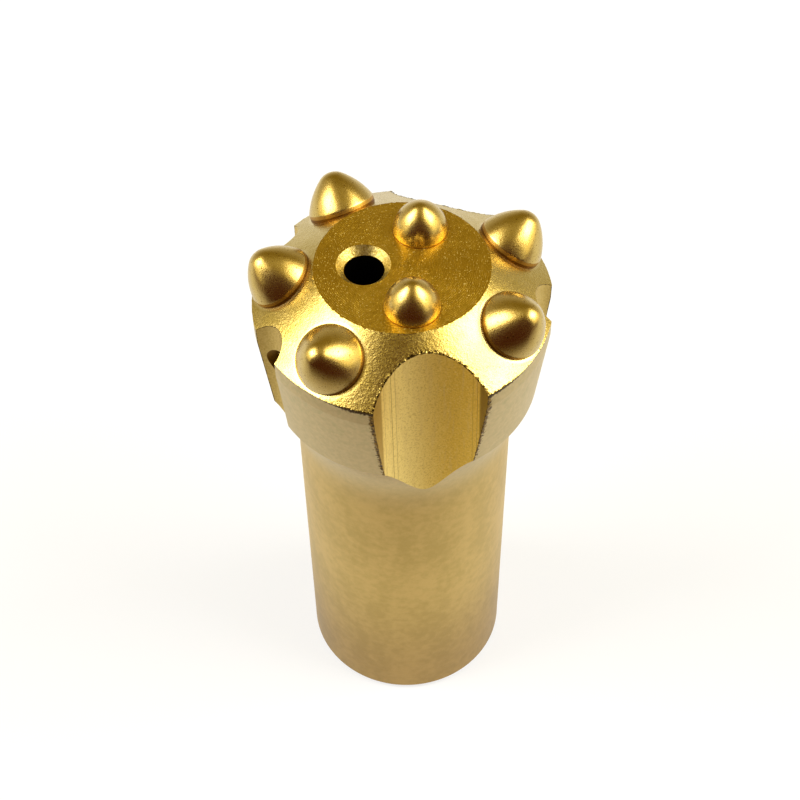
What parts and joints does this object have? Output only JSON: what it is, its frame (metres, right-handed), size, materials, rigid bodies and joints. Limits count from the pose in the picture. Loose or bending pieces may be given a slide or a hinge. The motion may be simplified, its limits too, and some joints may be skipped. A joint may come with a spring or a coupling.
{
  "type": "button drill bit",
  "caption": "Tapered-socket rock drill bit with a bevelled, grooved head, domed hard-metal buttons and flushing holes.",
  "frame": {"origin": "centre of the tapered socket's mouth, on the bit's axis, in the plane of the skirt's foot", "axes": "+Z along the bit's axis from the socket's mouth to the face; -X towards the face flushing hole; the two wide grooves lie nearly towards +Y and -Y"},
  "size_m": [0.0406, 0.0402, 0.0906],
  "materials": {
    "gold_steel": "satin metallic gold lacquer over shot-blasted steel",
    "gold_button": "smooth metallic gold lacquer over hard metal"
  },
  "bodies": {
    "root": {"bit_body": "gold_steel", "gauge_button_1": "gold_button", "gauge_button_2": "gold_button", "gauge_button_3": "gold_button", "gauge_button_4": "gold_button", "gauge_button_5": "gold_button", "face_button_1": "gold_button", "face_button_2": "gold_button"}
  },
  "joints": []
}
